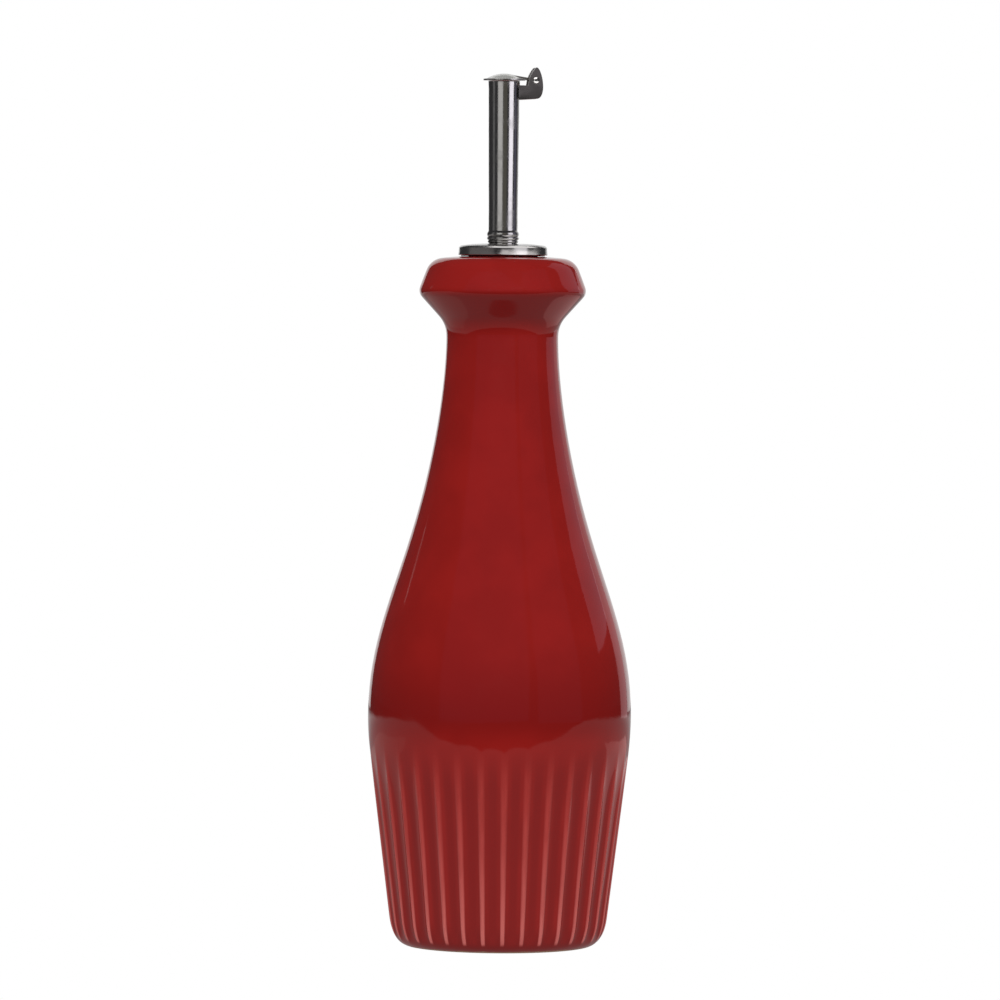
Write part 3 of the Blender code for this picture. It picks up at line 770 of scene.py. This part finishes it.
def makeFlap():
    part = lid
    under = closure["spoutTop"] + part["gap"]
    top = under + part["sheet"]
    dome, rise, rim = part["domeRadius"], part["domeHeight"], part["radius"]
    sphere = (dome**2 + rise**2) / (2 * rise)
    steps = 10

    def domeAt(radius, base):
        return at(radius, base + math.sqrt(sphere**2 - radius**2) - sphere + rise)

    profile = [domeAt(dome * step / steps, top) for step in range(steps)]
    profile += [at(dome + 0.05, top), at(rim - 0.12, top), at(rim - 0.03, top - 0.04)]
    profile += [at(rim, top - 0.14), at(rim - 0.02, under), at(dome - 0.2, under)]
    profile += [domeAt(dome * step / steps - 0.1, under) for step in range(steps - 1, 1, -1)]
    profile += [at(0.0, under + rise)]
    piece = spinPiece("spoutFlap", profile, 96)

    # the strap starts as a ridge near the dome's top and slopes down to the barrel
    pivot = hinge["pivot"]
    half = part["strapWidth"] / 2 * mm
    strap = addBlock("strapTool", Vector((part["ridgeStart"] * mm, -half, (under + 0.1) * mm)),
                     Vector((pivot.x, half, top * mm)))
    bpy.ops.object.mode_set(mode="EDIT")
    bpy.ops.mesh.select_mode(type="EDGE")
    bpy.ops.mesh.select_all(action="DESELECT")
    shape = bmesh.from_edit_mesh(strap.data)
    for edge in shape.edges:
        if all(vert.co.x < 2 * mm and vert.co.z > (top - 0.01) * mm for vert in edge.verts):
            edge.select_set(True)
    bmesh.update_edit_mesh(strap.data)
    bpy.ops.transform.translate(value=(0, 0, part["ridgeRise"] * mm))
    bpy.ops.object.mode_set(mode="OBJECT")
    combine(piece, strap, "UNION")
    centre = (pivot.x, 0, pivot.y)
    combine(piece, addRod("barrelTool", centre, part["barrelRadius"] * mm, 2 * half, 48), "UNION")
    combine(piece, addRod("holeTool", centre, hinge["pinHole"] * mm, 4 * half, 32), "DIFFERENCE")
    softenEdges(piece, 0.05 * mm, 2, 40.0)
    dressPiece(piece, metal["flapSteel"], "flap", "flap")


makeBracket()
makePin()
makeFlap()


# Studio, angles in degrees and sizes in mm

studio = {
    "azimuth": -7.7,  # of the camera: 0 looks along +Y
    "distance": 1685.0, "height": 142.0, "lens": 288.46, "roll": 0.43,
    "aimHeight": 94.05, "aimSide": -0.23,
    "gloomGloss": (0.040, 0.040, 0.042),  # what the gloss sees of the room
    "fill": 0.50,  # even light on dull surfaces
    "tableGloss": 0.33, "tableDark": 0.03, "tableBack": 0.6, "tableFill": 0.38,
    "tableFront": 200.0, "tableFar": 1000.0, "tableBehind": (-400.0, -1000.0),
    "tableBlush": (1.0, 0.80, 0.80), "blushReach": (800.0, 150.0),
    "floorSize": 6000.0,
}


def addCamera():
    data = bpy.data.cameras.new("camera")
    data.lens = studio["lens"]
    data.clip_start, data.clip_end = 0.05, 20.0
    camera = bpy.data.objects.new("camera", data)
    bpy.context.scene.collection.objects.link(camera)
    azimuth = math.radians(studio["azimuth"])
    back = Vector((math.sin(azimuth), -math.cos(azimuth), 0.0))
    right = Vector((math.cos(azimuth), math.sin(azimuth), 0.0))
    camera.location = back * studio["distance"] * mm + Vector((0, 0, studio["height"] * mm))
    target = right * studio["aimSide"] * mm + Vector((0, 0, studio["aimHeight"] * mm))
    camera.rotation_mode = "QUATERNION"
    aim = (target - camera.location).to_track_quat("-Z", "Y")
    camera.rotation_quaternion = aim @ Quaternion((0, 0, 1), math.radians(studio["roll"]))
    bpy.context.scene.camera = camera


def addWorld():
    world = bpy.data.worlds.new("studio")
    bpy.context.scene.world = world
    world.use_nodes = True
    world.cycles.sampling_method = "NONE"
    tree = world.node_tree
    tree.nodes.clear()
    path = addNode(tree, "ShaderNodeLightPath", -600, 300)

    def shell(colour, strength, y):
        node = addNode(tree, "ShaderNodeBackground", -400, y)
        node.inputs["Color"].default_value = (*colour, 1.0)
        node.inputs["Strength"].default_value = strength
        return node.outputs[0]

    def choose(share, first, second, x):
        node = addNode(tree, "ShaderNodeMixShader", x, 0)
        for value, socket in zip((share, first, second), node.inputs):
            tree.links.new(value, socket)
        return node.outputs[0]

    gloom = shell(studio["gloomGloss"], 1.0, 0)
    fill = shell((1, 1, 1), studio["fill"], -150)
    white = shell((1, 1, 1), 1.0, -300)
    lit = choose(path.outputs["Is Diffuse Ray"], gloom, fill, -100)
    seen = choose(path.outputs["Is Camera Ray"], lit, white, 100)
    tree.links.new(seen, addNode(tree, "ShaderNodeOutputWorld", 300, 0).inputs["Surface"])


def addFloor():
    # the pale table: white to the camera, and to the gloss it ends in the dark towards the camera
    pickNothing()
    bpy.ops.mesh.primitive_plane_add(size=studio["floorSize"] * mm)
    floor = bpy.context.object
    floor.name = "tableTop"
    material = bpy.data.materials.new("tableWhite")
    material.use_nodes = True
    material.cycles.emission_sampling = "NONE"
    tree = material.node_tree
    tree.nodes.clear()
    place = addNode(tree, "ShaderNodeTexCoord", -1000, 0).outputs["Object"]
    azimuth = math.radians(studio["azimuth"])
    towards = addNode(tree, "ShaderNodeVectorMath", -800, 0, operation="DOT_PRODUCT")
    feed(tree, place, towards.inputs[0])
    towards.inputs[1].default_value = (math.sin(azimuth), -math.cos(azimuth), 0.0)
    length = addNode(tree, "ShaderNodeVectorMath", -800, -400, operation="LENGTH")
    feed(tree, place, length.inputs[0])
    front, far = (studio[key] * mm for key in ("tableFront", "tableFar"))
    inFront = remap(tree, -600, 0, towards.outputs["Value"], 1.05 * front, 0.95 * front)
    inside = remap(tree, -600, -400, length.outputs["Value"], 1.15 * far, 0.85 * far)
    backStart, backEnd = (limit * mm for limit in studio["tableBehind"])
    back = remap(tree, -600, -800, towards.outputs["Value"], backStart, backEnd)
    share = doMath(tree, -400, -200, "MULTIPLY", inFront, inside)
    behind = remap(tree, -400, -600, back, 0.0, 1.0,
                   studio["tableGloss"], studio["tableBack"], smooth=False)
    lit = remap(tree, -300, 0, share, 0.0, 1.0, studio["tableDark"], behind, smooth=False)
    path = addNode(tree, "ShaderNodeLightPath", -600, 400)
    level = addNode(tree, "ShaderNodeMix", -200, 0, data_type="FLOAT")
    feed(tree, path.outputs["Is Diffuse Ray"], level.inputs["Factor"])
    feed(tree, lit, level.inputs[2])
    level.inputs[3].default_value = studio["tableFill"]
    shown = addNode(tree, "ShaderNodeMix", 0, 0, data_type="FLOAT")
    feed(tree, path.outputs["Is Camera Ray"], shown.inputs["Factor"])
    feed(tree, level.outputs[0], shown.inputs[2])
    shown.inputs[3].default_value = 1.0
    glow = addNode(tree, "ShaderNodeEmission", 200, 0)
    feed(tree, shown.outputs[0], glow.inputs["Strength"])

    # close by, the table glows with a painted pink bounce light from the glaze, for all but camera rays
    blushEnd, blushStart = (limit * mm for limit in studio["blushReach"])
    near = remap(tree, -400, 700, length.outputs["Value"], blushEnd, blushStart)
    unseen = doMath(tree, -200, 700, "MULTIPLY", near, doMath(
        tree, -400, 900, "SUBTRACT", 1.0, path.outputs["Is Camera Ray"]))
    blush = mixColour(tree, 0, 700, unseen, (1, 1, 1, 1), tone(studio["tableBlush"]))
    feed(tree, blush, glow.inputs["Color"])
    clear = addNode(tree, "ShaderNodeBsdfTransparent", 200, -150)
    under = addNode(tree, "ShaderNodeNewGeometry", 200, 200).outputs["Backfacing"]
    mixed = addNode(tree, "ShaderNodeMixShader", 400, 0)
    for value, socket in zip((under, glow.outputs[0], clear.outputs[0]), mixed.inputs):
        tree.links.new(value, socket)
    output = addNode(tree, "ShaderNodeOutputMaterial", 600, 0)
    tree.links.new(mixed.outputs[0], output.inputs["Surface"])
    floor.data.materials.append(material)


# Panels of light: azimuth counts from the camera to its right
panels = {
    "frontFill": {"azimuth": 4, "elevation": 30, "distance": 900, "size": (900, 900),
                  "radiance": 1.15, "tint": (1, 1, 1), "seenBy": "dull"},
    "leftHaze": {"azimuth": -14, "elevation": 6, "distance": 900, "size": (1500, 1500),
                 "radiance": 0.080, "tint": (0.50, 0.46, 0.85), "seenBy": "glaze"},
    "rightHaze": {"azimuth": 55, "elevation": 6, "distance": 900, "size": (700, 1500),
                  "radiance": 0.080, "tint": (0.60, 0.50, 0.80), "seenBy": "glaze"},
    "rightWindow": {"azimuth": 116, "elevation": 30, "distance": 250, "size": (140, 232),
                    "radiance": 0.36, "tint": (1.0, 0.82, 1.0), "seenBy": "glaze"},
    "rightWall": {"azimuth": 141, "elevation": 0, "distance": 900, "size": (280, 540),
                  "radiance": 0.62, "tint": (1.0, 0.66, 0.70), "seenBy": "glaze"},
    "rightTable": {"azimuth": 150, "lying": 1.0, "distance": 249, "size": (360, 330),
                   "radiance": 0.46, "tint": (1.0, 0.52, 0.50), "seenBy": "glaze"},
    "leftTable": {"azimuth": -134, "lying": 1.0, "distance": 249, "size": (360, 330),
                  "radiance": 0.14, "tint": (1.0, 0.60, 0.52), "seenBy": "glaze"},
    "backWall": {"azimuth": 177, "elevation": 12, "distance": 1000, "size": (1020, 900),
                 "radiance": 0.8, "tint": (1, 1, 1), "seenBy": "gloss"},
    "leftTube": {"azimuth": -121, "elevation": 17, "distance": 900, "size": (26, 110),
                 "radiance": 0.6, "tint": (1, 0.97, 0.95), "seenBy": "glaze"},
    "tubeStrip": {"azimuth": 58, "elevation": 8, "distance": 900, "size": (560, 1100),
                  "radiance": 1.4, "tint": (1, 0.97, 1.06), "seenBy": "tube"},
    "tubeCard": {"azimuth": -27, "elevation": 8, "distance": 900, "size": (600, 1100),
                 "radiance": 0.60, "tint": (1, 0.99, 0.97), "seenBy": "tube"},
    "tubeFront": {"azimuth": 9, "elevation": 8, "distance": 900, "size": (500, 1100),
                  "radiance": 0.06, "tint": (1.1, 1, 0.7), "seenBy": "tube"},
    "tubeLeft": {"azimuth": -81, "elevation": 8, "distance": 900, "size": (280, 1100),
                 "radiance": 0.12, "tint": (1, 1, 1), "seenBy": "tube"},
    "tubeRight": {"azimuth": 99, "elevation": 8, "distance": 900, "size": (360, 1100),
                  "radiance": 0.06, "tint": (1, 0.9, 1.5), "seenBy": "tube"},
    "tubeBack": {"azimuth": 150, "elevation": 8, "distance": 900, "size": (760, 1100),
                 "radiance": 0.36, "tint": (1, 0.98, 1), "seenBy": "tube"},
    "capStrip": {"azimuth": 48, "elevation": 8, "distance": 900, "size": (600, 900),
                 "radiance": 0.85, "tint": (1, 0.98, 1.02), "seenBy": "cap"},
    "capLeft": {"azimuth": -62, "elevation": 16, "distance": 900, "size": (1300, 700),
                "radiance": 0.12, "tint": (1, 0.95, 0.94), "seenBy": "cap"},
    "capLow": {"azimuth": 48, "elevation": 26, "distance": 900, "size": (2200, 480),
               "radiance": 0.75, "tint": (1, 0.96, 0.97), "seenBy": "cap"},
    "capSky": {"azimuth": 66, "elevation": 76, "distance": 900, "size": (1500, 1100),
               "radiance": 1.1, "tint": (1, 0.98, 0.98), "seenBy": "cap"},
    "hingeFront": {"azimuth": 10, "elevation": 0, "distance": 900, "size": (900, 900),
                   "radiance": 0.11, "tint": (1.05, 0.95, 1.0), "seenBy": "hinge"},
    "hingeSky": {"azimuth": -60, "elevation": 55, "distance": 900, "size": (900, 900),
                 "radiance": 1.3, "tint": (1, 1, 1), "seenBy": "hinge"},
    "lidSky": {"azimuth": 180, "elevation": 80, "distance": 900, "size": (2000, 2200),
               "radiance": 0.5, "tint": (0.98, 1, 0.97), "seenBy": "lid"},
    "pinSky": {"azimuth": -10, "elevation": 50, "distance": 900, "size": (1100, 900),
               "radiance": 2.2, "tint": (1, 1, 1), "seenBy": "pin"},
    "pinTable": {"azimuth": 0, "lying": 6.0, "distance": 420, "size": (760, 760),
                 "radiance": 1.8, "tint": (1, 1, 1), "seenBy": "pin"},
}


def addPanels():
    lookers = {}
    for key, names in (
        ("glaze", ("cruetBody",)),
        ("tube", ("pouringSpout", "spoutFlap")),
        ("cap", ("steelCap",)),
        ("hinge", ("hingeBracket",)),
        ("lid", ("spoutFlap",)),
        ("pin", ("hingePin",)),
    ):
        lookers[key] = bpy.data.collections.new(key + "Pieces")
        for name in names:
            lookers[key].objects.link(bpy.data.objects[name])
    centre = Vector((0, 0, studio["aimHeight"] * mm))
    for name, panel in panels.items():
        data = bpy.data.lights.new(name, "AREA")
        data.shape = "RECTANGLE"
        data.size, data.size_y = (side * mm for side in panel["size"])
        data.energy = panel["radiance"] * math.pi * data.size * data.size_y
        data.color = panel["tint"]
        lamp = bpy.data.objects.new(name, data)
        bpy.context.scene.collection.objects.link(lamp)
        azimuth = math.radians(studio["azimuth"] + panel["azimuth"])
        elevation = math.radians(panel.get("elevation", 0))
        away = Vector((math.sin(azimuth) * math.cos(elevation),
                       -math.cos(azimuth) * math.cos(elevation), math.sin(elevation)))
        lamp.location = centre + away * panel["distance"] * mm
        if "lying" in panel:  # low over the table, facing up
            lamp.location.z = panel["lying"] * mm
            away = Vector((0, 0, -1))
        lamp.rotation_mode = "QUATERNION"
        lamp.rotation_quaternion = away.to_track_quat("Z", "Y")
        lamp.visible_camera = False
        lamp.visible_diffuse = panel["seenBy"] == "dull"
        lamp.visible_glossy = panel["seenBy"] != "dull"
        if panel["seenBy"] in lookers:
            lamp.light_linking.receiver_collection = lookers[panel["seenBy"]]


addCamera()
addWorld()
addFloor()
addPanels()
bpy.context.scene.view_settings.view_transform = "Standard"
print("studio ready")
